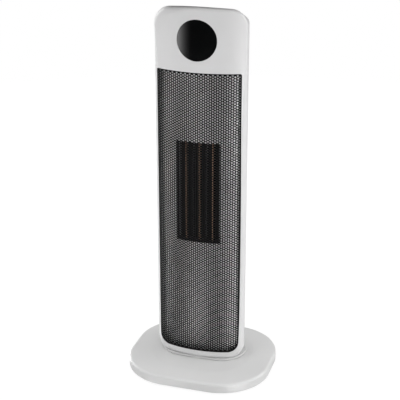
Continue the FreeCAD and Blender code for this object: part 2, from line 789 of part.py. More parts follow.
def make_turntable():
    plinth = body("plinth", y="plinth_middle", z=GLIDE_TOP)
    outline = sketch(plinth, "plinth_outline")
    rounded_rectangle(outline, "plinth_width", "plinth_depth", "plinth_corner_radius")
    pad(plinth, "plinth_plate", outline, PLINTH_HEIGHT)
    spindle = cylinder("spindle", "spindle_radius", f"tower_bottom - {RETAINER_BOTTOM}", z=RETAINER_BOTTOM)
    wire_bore = cylinder("wire_bore", "spindle_bore", "overall_height", z="0")
    shaft_pass = cylinder("shaft_pass", "pinion_shaft_radius + 2 * fit_gap", "tower_bottom", y=GEAR_DISTANCE,
                          z=GLIDE_TOP)
    recess = "(screw_head_height + fit_gap)"
    wells = foot_set("foot_well", "screw_head_radius + seat_gap", recess, GLIDE_TOP)
    passes = foot_set("foot_pass", "screw_shank_radius", "tower_bottom", GLIDE_TOP)
    node(cut("turntable_cut", fuse("turntable_stock", plinth, spindle), wire_bore, shaft_pass, *wells, *passes),
         "turntable")
    screws = [screw(f"foot_screw_{k}", x, y, f"{GLIDE_TOP} + {recess}") for k, (x, y) in enumerate(foot_places())]
    node(group("foot_screw_set", *screws), "foot_screws")
    node(tube("retainer", "retainer_radius", "spindle_radius", "retainer_thickness", z=RETAINER_BOTTOM),
         "retainer_ring")
    node(tube("glide", "glide_outer_radius", "glide_inner_radius", "glide_thickness", z="base_top"), "glide_ring")

    up = Vector(0, 0, value("gear_thickness"))
    fixed_outline = gear_outline(int(value("fixed_gear_teeth")), value("gear_backlash"), math.pi / 2)
    fixed = place(worked("fixed_teeth", fixed_outline.extrude(up)), z=WELL_TOP)
    gear_bore = cylinder("gear_bore", "spindle_radius + fit_gap", "tower_bottom", z="0")
    node(cut("fixed_gear_cut", fixed, gear_bore), "fixed_gear")
    teeth = int(value("pinion_teeth"))
    pinion_outline = gear_outline(teeth, value("gear_backlash"), -math.pi / 2 + math.pi / teeth)
    pinion_bottom = f"({WELL_TOP} + fit_gap)"
    pinion = place(worked("pinion_wheel", pinion_outline.extrude(up)), y=GEAR_DISTANCE, z=pinion_bottom)
    shaft = cylinder("pinion_shaft", "pinion_shaft_radius", f"{FLOOR_TOP} + pinion_shaft_grip - {pinion_bottom}",
                     y=GEAR_DISTANCE, z=pinion_bottom)
    node(fuse("pinion_with_shaft", pinion, shaft), "swing_pinion")

    motor_middle = f"({GEAR_DISTANCE} - swing_motor_offset)"
    can = cylinder("swing_can", "swing_motor_radius", "swing_motor_height", y=motor_middle, z=FLOOR_TOP)
    tabs = mirrored_pair(lambda name, x: cylinder(
        name, "swing_motor_tab_radius", "swing_motor_tab_height", x, motor_middle, FLOOR_TOP),
        "swing_tab", "swing_motor_tab_reach")
    bridge = box("swing_bridge", "2 * swing_motor_tab_reach", "2 * swing_motor_tab_radius", "swing_motor_tab_height",
                 "0", f"{motor_middle} - swing_motor_tab_radius", FLOOR_TOP)
    socket = cylinder("swing_socket", "pinion_shaft_radius + running_gap", "pinion_shaft_grip + fit_gap",
                      y=GEAR_DISTANCE, z=FLOOR_TOP)
    wire_clear = cylinder("swing_wire_clear", "spindle_bore", "overall_height", z="0")
    node(cut("swing_motor_cut", fuse("swing_motor_stock", can, bridge, *tabs), socket, wire_clear), "swing_motor")

    node(box("tilt_box", "tilt_switch_side", "tilt_switch_side", "tilt_switch_tall", "-tilt_switch_reach",
             "-tilt_switch_side", FLOOR_TOP), "tilt_switch")


make_turntable()


# Front: grille, panel with the outlet window, heater and display


def hex_holes():
    """Hexagonal holes over the outlet window, in staggered columns."""
    pitch = value("hole_pitch")
    across = value("hole_across")
    step = pitch * math.cos(math.pi / 6)
    half_columns = int((value("window_width") - across) / 2 / step)
    half_rows = int((value("window_height") - across) / 2 / pitch)
    depth = Vector(0, value("axis_to_front"), 0)
    corner = across / 2 / math.cos(math.pi / 6)
    holes = []
    for column in range(-half_columns, half_columns + 1):
        shift = pitch / 2 if column % 2 else 0
        for row in range(-half_rows, half_rows + (0 if column % 2 else 1)):
            centre = Vector(column * step, -value("axis_to_front") - value("overrun"),
                            value("window_middle") + row * pitch + shift)
            ring = [centre + Vector(corner * math.cos(k * math.pi / 3), 0, corner * math.sin(k * math.pi / 3))
                    for k in range(7)]
            holes.append(Part.Face(Part.makePolygon(ring)).extrude(depth))
    return worked("hex_holes", Part.makeCompound(holes))


def make_front():
    sheet_stock = common("grille_stock", front_layer("grille_layer", "grille_recess", "grille_thickness"),
                         opening_prism("grille_outline", "-seat_gap"))
    node(cut("grille_cut", sheet_stock, hex_holes()), "front_grille")

    rim_outline = opening_prism("rim_outline", "-seat_gap")
    rim_inside = opening_prism("rim_inside", "-seat_gap - panel_rim")
    rim = cut("panel_rim_wall", common("panel_rim_stock", front_layer(
        "panel_rim_layer", GRILLE_BACK, "panel_gap + panel_thickness"), rim_outline), rim_inside)
    plate = common("panel_plate", front_layer("panel_layer", PANEL_FRONT, "panel_thickness"),
                   opening_prism("plate_outline", "-seat_gap - panel_rim / 2"))
    window = box("window", "window_width", "2 * axis_to_front", "window_height", "0", "-2 * axis_to_front",
                 WINDOW_BOTTOM)
    node(cut("panel_cut", fuse("panel_stock", rim, plate), window), "outlet_panel")

    duct = box("duct_outside", DUCT_WIDTH, "duct_depth", "window_height + 2 * duct_wall", "0", DUCT_FRONT,
               f"{WINDOW_BOTTOM} - duct_wall")
    duct_inside = box("duct_inside", "window_width", "2 * duct_depth", "window_height", "0",
                      f"{DUCT_FRONT} - overrun", WINDOW_BOTTOM)
    behind_panel = cylinder("behind_panel", f"{FRONT_RADIUS} - {PANEL_BACK}", "overall_height", y=FRONT_AXIS)
    slots = [box(f"terminal_slot_{k}", "terminal_width", "terminal_thickness", "terminal_length", f"{k} * bar_pitch",
                 f"{HEATER_FRONT} + heater_depth / 2 - terminal_thickness / 2", WINDOW_TOP) for k in (-1, 0, 1)]
    node(cut("duct", common("duct_stock", duct, behind_panel), duct_inside, *slots), "heater_frame")

    bars = [box(f"ptc_bar_{k}", "bar_thickness", "heater_depth", "window_height", f"{k} * bar_pitch", HEATER_FRONT,
                WINDOW_BOTTOM) for k in (-1, 0, 1)]
    node(group("bars", *bars), "ptc_bars")
    fin_height = "(window_height - 2 * fin_end_gap)"
    plates = [box(f"separator_{k}", "separator_thickness", "heater_depth", fin_height, f"{k} / 2 * bar_pitch",
                  HEATER_FRONT, f"{WINDOW_BOTTOM} + fin_end_gap") for k in (-3, -1, 1, 3)]
    node(group("separators", *plates), "fin_separators")
    node(worked("fins", Part.makeCompound(fin_banks())), "fin_packs")
    tabs = [box(f"terminal_{k}", "terminal_width", "terminal_thickness", "terminal_length", f"{k} * bar_pitch",
                f"{HEATER_FRONT} + heater_depth / 2 - terminal_thickness / 2", WINDOW_TOP) for k in (-1, 0, 1)]
    node(group("terminals", *tabs), "heater_terminals")
    node(cylinder("cutout", "cutout_radius", "cutout_height", "bar_pitch / 2", f"{DUCT_BACK} - cutout_radius",
                  DUCT_TOP), "thermal_cutout")

    lens_disc = cylinder("lens_disc", "lens_radius", "axis_to_front", z=LENS_MIDDLE, rotation=TOWARDS_FRONT)
    node(common("lens", front_layer("lens_layer", "lens_recess", "casing_wall - lens_recess"), lens_disc),
         "display_lens")
    holder_run = cylinder("holder_run", "holder_radius", "holder_depth + axis_to_front", y=HOLDER_BACK, z=LENS_MIDDLE,
                          rotation=TOWARDS_FRONT)
    holder_bore = cylinder("holder_way", "holder_bore", "holder_depth + axis_to_front", y=HOLDER_BACK, z=LENS_MIDDLE,
                           rotation=TOWARDS_FRONT)
    behind_front = cylinder("behind_front", f"{FRONT_RADIUS} - casing_wall", "overall_height", y=FRONT_AXIS)
    node(cut("holder", common("holder_stock", holder_run, behind_front), holder_bore), "display_holder")
    node(cylinder("display_disc", "holder_radius", "board_thickness", y=HOLDER_BACK, z=LENS_MIDDLE,
                  rotation=ALONG_Y), "display_board")
    node(box("digits", "digits_width", "digits_depth", "digits_height", "0", f"{HOLDER_BACK} - digits_depth",
             f"{LENS_MIDDLE} - digits_height / 2"), "display_module")


# Places of the fin banks, as shares of the pitch of the bars
BANK_PLACE_SHARES = (-1.25, -0.75, -0.25, 0.25, 0.75, 1.25)


def fin_banks():
    """Corrugated fins that zigzag between each bar and the plates beside it."""
    pitch = value("fin_pitch")
    height = value("window_height - 2 * fin_end_gap")
    folds = int(height / pitch * 2)
    start = value(f"{WINDOW_BOTTOM} + fin_end_gap")
    width = value("bar_pitch / 2 - bar_thickness / 2 - separator_thickness / 2")
    sheet_run = value("fin_thickness") * math.hypot(width, pitch / 2) / (pitch / 2)
    banks = []
    for place_share in BANK_PLACE_SHARES:
        nearest = round(place_share)
        side = 1 if place_share > nearest else -1
        inner = nearest * value("bar_pitch") + side * value("bar_thickness") / 2
        ends = (inner, inner + side * (width - sheet_run))
        run = Vector(side * sheet_run, 0, 0)
        line = [Vector(ends[k % 2], value(HEATER_FRONT), start + k * pitch / 2) for k in range(folds)]
        band = Part.makePolygon(line + [p + run for p in reversed(line)] + line[:1])
        bank = Part.Face(band).extrude(Vector(0, value("heater_depth"), 0))
        banks.append(bank if bank.Volume > 0 else bank.reversed())
    return banks


make_front()


# Blower: a crossflow wheel on an upright shaft between the heater and the rear vents


def make_blower():
    casing = body("casing_form", z=BLOWER_BOTTOM)
    front_half = f"({DUCT_WIDTH} / 2)"
    outline = sketch(casing, "casing_outline")
    trapezoid = [(f"-{front_half}", DUCT_BACK), (front_half, DUCT_BACK), (CASING_RADIUS, "wheel_setback"),
                 (f"-{CASING_RADIUS}", "wheel_setback")]
    polygon(outline, trapezoid)
    pad(casing, "casing_column", outline, BLOWER_HEIGHT)
    back = sketch(casing, "casing_back")
    circle(back, CASING_RADIUS, y="wheel_setback")
    pad(casing, "casing_back_column", back, BLOWER_HEIGHT)
    inside = sketch(casing, "casing_inside", offset="casing_end_thickness")
    inner_front = f"({front_half} - casing_side_wall)"
    inner_back = f"({CASING_RADIUS} - casing_side_wall)"
    polygon(inside, [(f"-{inner_front}", f"{DUCT_BACK} - overrun"), (inner_front, f"{DUCT_BACK} - overrun"),
                     (inner_front, DUCT_BACK), (inner_back, "wheel_setback"),
                     (inner_back, f"wheel_setback + 2 * {CASING_RADIUS}"),
                     (f"-{inner_back}", f"wheel_setback + 2 * {CASING_RADIUS}"), (f"-{inner_back}", "wheel_setback"),
                     (f"-{inner_front}", DUCT_BACK)])
    pocket(casing, "casing_air_way", inside, f"{BLOWER_HEIGHT} - 2 * casing_end_thickness")
    shaft_holes = cylinder("casing_shaft_holes", "blower_shaft_radius + fit_gap", "overall_height",
                           y="wheel_setback", z="0")
    node(cut("casing_cut", casing, shaft_holes), "blower_casing")

    bush = cylinder("bush", "bush_radius", "bush_length", y="wheel_setback", z=f"{BLOWER_BOTTOM} - bush_length")
    bush_bore = cylinder("bush_bore", "blower_shaft_radius + running_gap", "overall_height", y="wheel_setback",
                         z=f"{BLOWER_BOTTOM} - shaft_grip")
    node(cut("bush_cut", bush, bush_bore), "lower_bearing")
    can = cylinder("motor_can", "motor_radius", "motor_height", y="wheel_setback", z=BLOWER_TOP)
    cap = cylinder("motor_cap", "motor_radius - motor_cap_step", "motor_cap_height", y="wheel_setback",
                   z=f"{BLOWER_TOP} + motor_height")
    motor_bore = cylinder("motor_bore", "blower_shaft_radius + running_gap", "shaft_grip + fit_gap",
                          y="wheel_setback", z=BLOWER_TOP)
    node(cut("motor_cut", fuse("motor_stock", can, cap), motor_bore), "blower_motor")

    node(cylinder("shaft", "blower_shaft_radius", f"{BLOWER_HEIGHT} + 2 * shaft_grip - fit_gap", y="wheel_setback",
                  z=f"{BLOWER_BOTTOM} - shaft_grip + fit_gap"), "blower_shaft")
    wheel = worked("wheel", crossflow_wheel())
    node(place(wheel, y="wheel_setback", z=WHEEL_BOTTOM), "blower_wheel")


def crossflow_wheel():
    """End and middle discs joined by curved blades, on a bore for the shaft."""
    radius = value("wheel_radius")
    inner = radius * value("wheel_inner_share")
    length = value("wheel_length")
    disc = value("wheel_disc")
    bays = int(value("wheel_bays"))
    thick = value("blade_thickness")
    lean = math.radians(value("blade_lean"))
    bore = value("blower_shaft_radius")
    stock = []
    for number in range(bays + 1):
        base = Vector(0, 0, number * (length - disc) / bays)
        ring_bore = bore if number in (0, bays) else inner - thick
        stock.append(Part.makeCylinder(radius, disc, base).cut(Part.makeCylinder(ring_bore, disc, base)))
    outer_mid = Vector(radius - thick, 0, 0)
    inner_mid = Vector(inner * math.cos(lean), inner * math.sin(lean), 0)
    along = (outer_mid - inner_mid).normalize()
    side = Vector(-along.y, along.x, 0)
    bulge = (outer_mid + inner_mid) / 2 + side * (outer_mid - inner_mid).Length * value("blade_bulge_share")
    half = side * thick / 2
    front = Part.Arc(outer_mid + half, bulge + half, inner_mid + half).toShape()
    rear = Part.Arc(inner_mid - half, bulge - half, outer_mid - half).toShape()
    ends = [Part.LineSegment(inner_mid + half, inner_mid - half).toShape(),
            Part.LineSegment(outer_mid - half, outer_mid + half).toShape()]
    blade = Part.Face(Part.Wire([front, ends[0], rear, ends[1]])).extrude(Vector(0, 0, length))
    count = int(value("blade_count"))
    for number in range(count):
        copy = blade.copy()
        copy.rotate(Vector(0, 0, 0), Vector(0, 0, 1), 360 * number / count)
        stock.append(copy)
    return stock[0].multiFuse(stock[1:]).removeSplitter()


make_blower()


# Electronics and the rocker switch at the back


def make_electronics():
    node(box("power_board_plate", "power_board_width", "board_thickness", "power_board_height", "0",
             "power_board_setback", "power_board_bottom"), "power_board")
    relays = mirrored_pair(lambda name, x: box(
        name, "relay_width", "relay_depth", "relay_height", x, "power_board_setback - relay_depth",
        "power_board_bottom + part_margin"), "relay", "(relay_width + relay_gap) / 2")
    transformer = box("transformer", "transformer_width", "transformer_depth", "transformer_height",
                      "-(power_board_width / 4)", "power_board_setback - transformer_depth",
                      "power_board_bottom + power_board_height - part_margin - transformer_height")
    capacitor = cylinder("capacitor", "capacitor_radius", "capacitor_length", "power_board_width / 4",
                         "power_board_setback - capacitor_length",
                         "power_board_bottom + power_board_height - part_margin - capacitor_radius", ALONG_Y)
    node(group("components", *relays, transformer, capacitor), "board_components")

    flange = box("switch_flange_plate", "switch_width + 2 * switch_flange", "switch_flange_thickness",
                 "switch_tall + 2 * switch_flange", "0", SWITCH_SEAT,
                 "switch_height - switch_tall / 2 - switch_flange")
    block = box("switch_block", "switch_width", "switch_depth", "switch_tall", "0", f"{SWITCH_SEAT} - switch_depth",
                "switch_height - switch_tall / 2")
    well = box("switch_well", "switch_width - 2 * switch_wall", "rocker_well_depth + overrun",
               "switch_tall - 2 * switch_wall", "0", f"{SWITCH_FACE} - rocker_well_depth",
               "switch_height - switch_tall / 2 + switch_wall")
    pin_hole = cylinder("rocker_pin_hole", "rocker_pin_radius + running_gap", "switch_width", "-switch_width / 2",
                        ROCKER_PIVOT, "switch_height", FreeCAD.Rotation(Vector(0, 1, 0), 90))
    node(cut("switch_cut", fuse("switch_stock", flange, block), well, pin_hole), "switch_body")

    collar_front = f"{SWITCH_SEAT} + gland_flange_thickness"
    collar = cylinder("gland_collar", "gland_bore + gland_wall + gland_flange", "gland_flange_thickness",
                      y=SWITCH_SEAT, z="gland_height", rotation=ALONG_Y)
    barrel = cylinder("gland_barrel", "gland_bore + gland_wall", "gland_length", y=f"{collar_front} - gland_length",
                      z="gland_height", rotation=ALONG_Y)
    passage = cylinder("gland_passage", "gland_bore", "gland_length", y=f"{collar_front} - gland_length",
                       z="gland_height", rotation=ALONG_Y)
    node(cut("gland", fuse("gland_stock", collar, barrel), passage), "cord_gland")

    rocker = body("rocker_form", y=ROCKER_PIVOT, z="switch_height")
    rocker.Placement.Rotation = FreeCAD.Rotation(Vector(1, 0, 0), value("rocker_tilt"))
    profile = sketch(rocker, "rocker_profile", "YZ_Plane", "-(switch_width / 2 - switch_wall - fit_gap)")
    polygon(profile, [("-rocker_back", "-rocker_half_height / 2"), ("rocker_shoulder", "-rocker_half_height"),
                      ("rocker_front", "-rocker_half_height"), ("rocker_front - rocker_dip", "0"),
                      ("rocker_front", "rocker_half_height"), ("rocker_shoulder", "rocker_half_height"),
                      ("-rocker_back", "rocker_half_height / 2")])
    pad(rocker, "rocker_block", profile, "switch_width - 2 * switch_wall - 2 * fit_gap")
    pivot = sketch(rocker, "rocker_pivot", "YZ_Plane", "-(switch_width / 2 - fit_gap)")
    circle(pivot, "rocker_pin_radius")
    pad(rocker, "rocker_pin", pivot, "switch_width - 2 * fit_gap")
    node(rocker, "power_rocker")


make_electronics()


def write_parts():
    """Checks every object, then writes one file for each sub-part."""
    doc.recompute()
    for item in doc.Objects:
        if "Invalid" in item.State or "Error" in item.State:
            raise RuntimeError(f"{item.Name}: {item.getStatusString()}")
    for item in nodes:
        if item.Shape.isNull() or not item.Shape.isValid() or not item.Shape.Solids:
            raise RuntimeError(f"{item.Label} has no sound solid")
    os.makedirs("parts", exist_ok=True)
    for item in nodes:
        item.Shape.exportStep(os.path.join("parts", item.Label + ".step"))


write_parts()
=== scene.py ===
import bpy
import bmesh
import math
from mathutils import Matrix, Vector


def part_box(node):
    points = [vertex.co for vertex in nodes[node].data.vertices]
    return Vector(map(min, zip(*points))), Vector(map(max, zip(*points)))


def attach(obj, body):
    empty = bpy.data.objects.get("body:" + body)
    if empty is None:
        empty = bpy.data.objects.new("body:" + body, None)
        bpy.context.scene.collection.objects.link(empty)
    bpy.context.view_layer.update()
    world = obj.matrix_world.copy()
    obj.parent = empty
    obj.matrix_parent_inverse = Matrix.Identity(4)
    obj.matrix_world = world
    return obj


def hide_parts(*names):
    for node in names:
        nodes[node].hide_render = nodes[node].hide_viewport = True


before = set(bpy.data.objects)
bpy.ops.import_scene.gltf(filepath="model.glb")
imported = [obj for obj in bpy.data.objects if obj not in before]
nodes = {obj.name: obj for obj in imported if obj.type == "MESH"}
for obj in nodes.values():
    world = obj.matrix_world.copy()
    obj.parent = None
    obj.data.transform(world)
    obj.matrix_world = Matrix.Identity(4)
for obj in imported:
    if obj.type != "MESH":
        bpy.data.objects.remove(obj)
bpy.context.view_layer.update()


# The front's bow: an upright cylinder whose axis lies behind the casing

MM = 0.001
BOW_HALF_WIDTH = 71.4 * MM
BOW_RISE = 17.0 * MM
PANEL_SETBACK = 6.3 * MM
FRONT_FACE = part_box("front_frame")[0][1]
FRONT_RADIUS = (BOW_HALF_WIDTH**2 + BOW_RISE**2) / (2 * BOW_RISE)
FRONT_AXIS = FRONT_FACE + FRONT_RADIUS
PANEL_RADIUS = FRONT_RADIUS - PANEL_SETBACK


def bowed(x, z, radius):
    """A point of the bow, or of one in front of it or behind it, at that place across and up."""
    return Vector((x, FRONT_AXIS - math.sqrt(radius**2 - x**2), z))


# Shader maths: a socket that takes part in Python expressions


class Paint:
    """The node tree of one material, or of the world."""

    def __init__(self, name, world=None):
        self.owner = world or bpy.data.materials.new(name)
        self.owner.use_nodes = True
        self.tree = self.owner.node_tree
        self.tree.nodes.clear()

    def node(self, kind, settings=None, **inputs):
        """Adds a node: its settings first, then its sockets by name, or by number as in _0."""
        item = self.tree.nodes.new("ShaderNode" + kind)
        for key, setting in (settings or {}).items():
            setattr(item, key, setting)
        for key, given in inputs.items():
            number = key[1:]
            self.feed(item.inputs[int(number) if number.isdigit() else key.replace("_", " ")], given)
        return item

    def feed(self, socket, given):
        """Links a wire to a socket, or sets the socket's own value."""
        if isinstance(given, Wire):
            self.tree.links.new(given.socket, socket)
        elif socket.type == "RGBA":
            socket.default_value = (*given, 1.0)
        else:
            socket.default_value = given

    def wire(self, kind, output=0, settings=None, **inputs):
        """Adds a node and gives one of its outputs, by number or by name."""
        return Wire(self, self.node(kind, settings, **inputs).outputs[output])

    def place(self):
        """The point on the piece, in metres of the shared frame."""
        return self.wire("TexCoord", "Object")

    def across_and_deep(self):
        """That point's places across (x) and in depth (y)."""
        split = self.node("SeparateXYZ", Vector=self.place())
        return Wire(self, split.outputs["X"]), Wire(self, split.outputs["Y"])

    def noise(self, scale, detail=2.0, roughness=0.5, at=None):
        return self.wire("TexNoise", Vector=at or self.place(), Scale=scale, Detail=detail,
                         Roughness=roughness)

    def blend(self, share, low, high):
        return self.wire("Mix", 2, {"data_type": "RGBA"}, _0=share, _6=low, _7=high)

    def bump(self, height, strength, distance):
        return self.wire("Bump", Height=height, Strength=strength, Distance=distance)

    def surface(self, shader):
        """Ends the tree with that shader."""
        self.node("OutputMaterial", Surface=shader)
        return self.owner

    def finish(self, **sockets):
        """Ends the tree with one principled shader."""
        return self.surface(self.wire("BsdfPrincipled", **sockets))


class Wire:
    """A socket's value in an expression."""

    def __init__(self, paint, socket):
        self.paint = paint
        self.socket = socket

    def math(self, operation, other=0.0, swapped=False):
        pair = (other, self) if swapped else (self, other)
        return self.paint.wire("Math", 0, {"operation": operation}, _0=pair[0], _1=pair[1])

    def __add__(self, other):
        return self.math("ADD", other)

    def __radd__(self, other):
        return self.math("ADD", other, True)

    def __sub__(self, other):
        return self.math("SUBTRACT", other)

    def __rsub__(self, other):
        return self.math("SUBTRACT", other, True)

    def __mul__(self, other):
        return self.math("MULTIPLY", other)

    def __rmul__(self, other):
        return self.math("MULTIPLY", other, True)

    def between(self, low, high, start=0.0, end=1.0):
        """Maps low..high to start..end, held at the ends."""
        return self.paint.wire("MapRange", 0, {"clamp": True}, _0=self, _1=low, _2=high, _3=start, _4=end)

    def spread(self, amount):
        """Turns a noise of 0..1 into a drift about zero of that whole width."""
        return (self - 0.5) * amount


# Finishes: noise scales are counts per metre

MOULDING_DRIFT = 9.0
MOULDING_GRIT = 2600.0
SHEET_DRIFT = 14.0
SHEET_PEEL = 900.0
RUBBER_GRIT = 1500.0
LENS_DRIFT = 30.0
BOARD_TRACKS = 90.0
DRAWN_LINES = (60.0, 60.0, 1200.0)
UPRIGHT = (math.pi / 2, 0.0, 0.0)
# painted shade: this grey on the panel's rim, where it meets the grille's border, stands in for shade there
# and keeps the metal from showing reflections
RIM_PAINTED_SHADE_GREY = (0.2, 0.2, 0.2)
RIM_SHADE_STARTS = PANEL_RADIUS + 0.2 * MM
RIM_SHADE_FULL = PANEL_RADIUS + 0.4 * MM


def darker_tone(colour, share):
    return tuple(c * share for c in colour)


def clouded(paint, colour):
    """A sheet's tone, with slow clouds a little darker than the rest."""
    cloud = paint.noise(SHEET_DRIFT, detail=3.0)
    return paint.blend(cloud.between(0.3, 0.7), darker_tone(colour, 0.9), colour)


def moulded_plastic(name, colour, roughness, grain=0.05):
    """Injection-moulded plastic: a fine spark-eroded grain, and a slight drift in tone."""
    paint = Paint(name)
    cloud = paint.noise(MOULDING_DRIFT, detail=3.0)
    grit = paint.noise(MOULDING_GRIT, roughness=0.6)
    tone = paint.blend(cloud.between(0.35, 0.65), darker_tone(colour, 0.97), colour)
    return paint.finish(Base_Color=tone, Roughness=roughness + cloud.spread(0.06) + grit.spread(0.08),
                        Normal=paint.bump(grit, strength=grain, distance=0.4 * MM))


def coated_metal(name, colour, roughness, gloss):
    """Powder-coated or painted sheet: a soft orange-peel surface."""
    paint = Paint(name)
    peel = paint.noise(SHEET_PEEL)
    return paint.finish(Base_Color=clouded(paint, colour), Roughness=roughness + peel.spread(0.1),
                        Specular_IOR_Level=gloss, Normal=paint.bump(peel, strength=0.08, distance=0.5 * MM))


def silver_panel(name, colour, roughness):
    """Bare silver sheet whose rim, folded forward to the grille, carries painted shade: flat grey and not
    metallic, it stands in for the shade behind the grille's border.
    """
    paint = Paint(name)
    x, y = paint.across_and_deep()
    behind = y - FRONT_AXIS
    # painted shade: the mask picks the rim folded forward to the grille, which turns grey and not metallic
    rim = (x * x + behind * behind).math("SQRT").between(RIM_SHADE_STARTS, RIM_SHADE_FULL)
    peel = paint.noise(SHEET_PEEL)
    return paint.finish(Base_Color=paint.blend(rim, clouded(paint, colour), RIM_PAINTED_SHADE_GREY), Metallic=1.0 - rim,
                        Roughness=roughness + peel.spread(0.1))


def drawn_metal(name, colour, roughness):
    """Bare metal with fine lines left by rolling or drawing."""
    paint = Paint(name)
    along = paint.wire("Mapping", Vector=paint.place(), Scale=DRAWN_LINES)
    lines = paint.noise(1.0, detail=3.0, roughness=0.6, at=along)
    return paint.finish(Base_Color=paint.blend(lines, darker_tone(colour, 0.8), colour), Metallic=1.0,
                        Roughness=roughness + lines.spread(0.2),
                        Normal=paint.bump(lines, strength=0.05, distance=0.3 * MM))


def soft_rubber(name, colour):
    """Matt rubber with a coarse grit."""
    paint = Paint(name)
    grit = paint.noise(RUBBER_GRIT, detail=3.0, roughness=0.7)
    return paint.finish(Base_Color=paint.blend(grit, darker_tone(colour, 0.8), colour),
                        Roughness=0.75 + grit.spread(0.2),
                        Normal=paint.bump(grit, strength=0.2, distance=0.4 * MM))


def smoked_lens(name):
    """The display's cover: black backing under a clear polished face."""
    paint = Paint(name)
    cloud = paint.noise(LENS_DRIFT)
    tone = paint.blend(cloud, (0.0018, 0.002, 0.0022), (0.0026, 0.0028, 0.003))
    return paint.finish(Base_Color=tone, Roughness=0.05 + cloud.spread(0.02), Specular_IOR_Level=0.5)


def circuit_board(name):
    """Green solder mask over a close pattern of tracks."""
    paint = Paint(name)
    turned = paint.wire("Mapping", Vector=paint.place(), Rotation=UPRIGHT)
    tracks = paint.wire("TexBrick", "Fac", Vector=turned, Scale=BOARD_TRACKS, Mortar_Size=0.06)
    tone = paint.blend(tracks, (0.012, 0.09, 0.03), (0.03, 0.17, 0.06))
    return paint.finish(Base_Color=tone, Roughness=0.35 + tracks * 0.1,
                        Normal=paint.bump(tracks, strength=0.1, distance=0.3 * MM))


FINISHES = {
    "shell": moulded_plastic("white_shell", (0.70, 0.697, 0.70), 0.36),
    "base": moulded_plastic("white_base", (0.662, 0.662, 0.66), 0.45),
    "underside": moulded_plastic("pale_underside", (0.66, 0.66, 0.66), 0.55),
    "black": moulded_plastic("black_moulding", (0.012, 0.012, 0.013), 0.5),
    "glossy": moulded_plastic("black_rocker", (0.01, 0.01, 0.01), 0.2, grain=0.02),
    "acetal": moulded_plastic("natural_acetal", (0.78, 0.77, 0.72), 0.35),
    "mesh": coated_metal("dark_mesh_coat", (0.006, 0.006, 0.006), 0.4, gloss=0.08),
    "border": coated_metal("black_border_coat", (0.005, 0.005, 0.005), 0.55, gloss=0.1),
    "panel": silver_panel("silver_panel_sheet", (0.91, 0.91, 0.915), 0.42),
    "aluminium": drawn_metal("plate_aluminium", (0.33, 0.33, 0.335), 0.45),
    # painted shade: the aluminium fins are coloured near black, standing in for the shade inside the heater
    # behind the grille
    "fins": drawn_metal("fins_in_painted_shade", (0.012, 0.012, 0.012), 0.5),
    "copper": drawn_metal("bar_sleeve", (0.46, 0.30, 0.21), 0.4),
    "steel": drawn_metal("zinc_steel", (0.62, 0.62, 0.63), 0.3),
    "rubber": soft_rubber("foot_rubber", (0.02, 0.02, 0.02)),
    "board": circuit_board("green_board"),
    "lens": smoked_lens("display_glass"),
}

FINISH_OF = {
    "base_cover": "base", "base_floor": "underside", "rubber_feet": "rubber", "base_screws": "steel",
    "fixed_gear": "acetal", "glide_ring": "acetal", "turntable": "base", "retainer_ring": "acetal",
    "foot_screws": "steel", "front_frame": "shell", "rear_housing": "shell", "front_grille": "mesh",
    "outlet_panel": "panel", "heater_frame": "black", "ptc_bars": "copper", "fin_separators": "aluminium",
    "fin_packs": "fins", "heater_terminals": "steel", "thermal_cutout": "steel", "blower_casing": "black",
    "blower_motor": "steel", "lower_bearing": "acetal", "intake_screen": "black", "display_lens": "lens",
    "display_holder": "black", "display_board": "board", "display_module": "black", "power_board": "board",
    "board_components": "black", "swing_motor": "steel", "switch_body": "black", "head_screws": "steel",
    "tilt_switch": "black", "cord_gland": "black", "blower_wheel": "black", "blower_shaft": "steel",
    "swing_pinion": "acetal", "power_rocker": "glossy",
}

for name, finish in FINISH_OF.items():
    for holder in nodes[name].material_slots:
        holder.link = "OBJECT"
        holder.material = FINISHES[finish]


# Grille: a bowed sheet pierced all over in staggered columns, with a plain border

GRILLE_RECESS = 0.8 * MM
GRILLE_RADIUS = FRONT_RADIUS - GRILLE_RECESS
GRILLE_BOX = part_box("front_grille")
GRILLE_LOW = GRILLE_BOX[0][2]
GRILLE_HIGH = GRILLE_BOX[1][2]
GRILLE_HALF = GRILLE_BOX[1][0]
FOOT_ROUND = 16.85 * MM
TOP_ROUND = 2.35 * MM
QUARTER_TURN = 90.0
ROUND_STEPS = 12
EDGE_STEP = 3.0 * MM
HOLE_PITCH = 4.0 * MM
HOLE_ACROSS = 2.55 * MM
HEX_SIDES = 6
HEX_FLAT = math.cos(math.pi / HEX_SIDES)
SHEET = 0.5 * MM
SHEET_BACK = GRILLE_RADIUS - SHEET
BORDER = 1.6 * MM
BORDER_PROUD = 0.06 * MM
EDGE_CELL_SHARE = 0.4
EDGE_HOLE_SHARE = 0.2
FLANGE_WALL = 0.5 * MM
FLANGE_DEPTH = 3.0 * MM
SPARE_COLUMNS = 2
SPARE_ROWS = 3
MICRONS_PER_METRE = 1e6


def inside_outline(x, z, margin):
    """Whether a place lies within the grille's outline, that far in from its edge."""
    half = GRILLE_HALF - margin
    low = GRILLE_LOW + margin
    high = GRILLE_HIGH - margin
    if abs(x) > half or z < low or z > high:
        return False
    r = FOOT_ROUND - margin
    dx = abs(x) - (half - r)
    dz = (low + r) - z
    return not (dx > 0 and dz > 0 and dx * dx + dz * dz > r * r)


